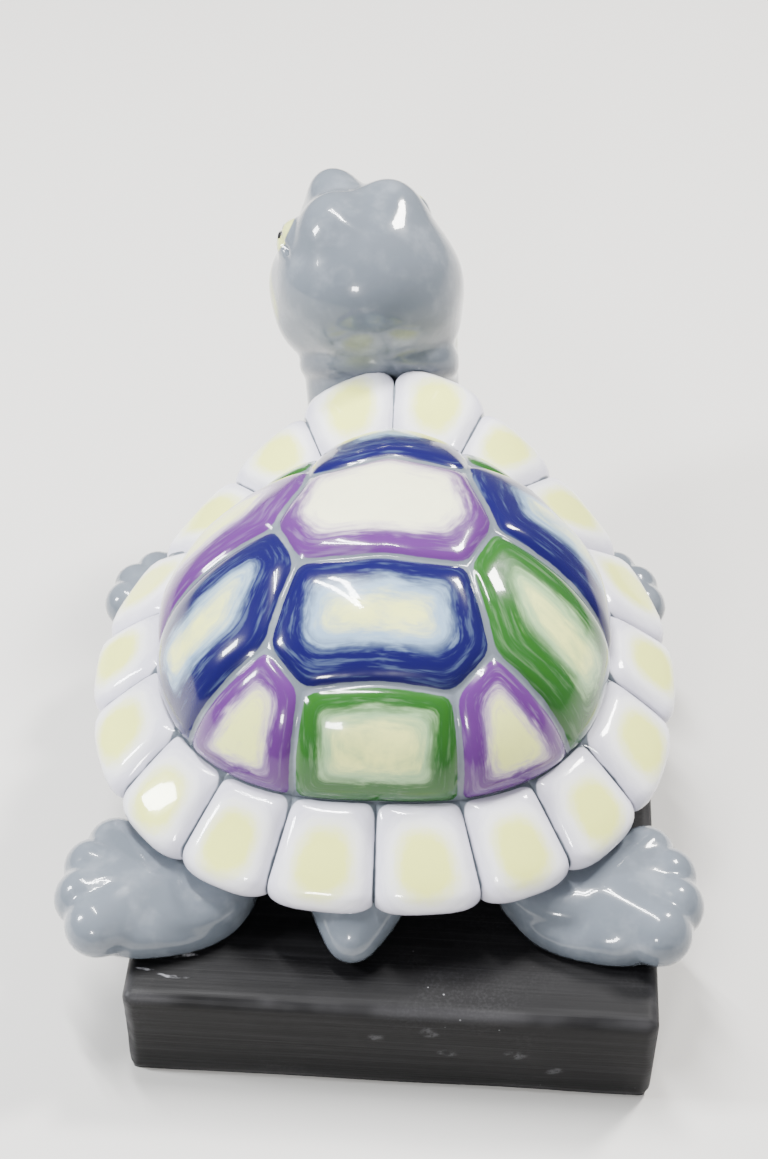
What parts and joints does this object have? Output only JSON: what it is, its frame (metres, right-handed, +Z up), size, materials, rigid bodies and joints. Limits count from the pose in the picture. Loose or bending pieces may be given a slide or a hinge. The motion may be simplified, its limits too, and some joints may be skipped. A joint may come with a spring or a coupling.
{
  "type": "glazed ceramic turtle figurine on a wooden block",
  "caption": "Hand-painted, high-gloss ceramic turtle with a domed shell of coloured scutes and a scalloped white rim, head raised and turned, standing on a black stained wooden block.",
  "frame": {"origin": "middle of the wooden block's underside", "axes": "+Z up, +Y from the tail towards the head, +X towards the turtle's right-hand side seen from behind"},
  "size_m": [0.2728, 0.3795, 0.2119],
  "materials": {
    "glazed_turtle": "high-gloss glaze; grey skin and seams, white and pale yellow rim, blue, purple and green scutes with pale middles",
    "stained_wood": "black stain, satin, fine sawn lines and a few pale scuffs"
  },
  "bodies": {
    "root": {"turtle": "glazed_turtle", "wooden_block": "stained_wood"}
  },
  "joints": []
}
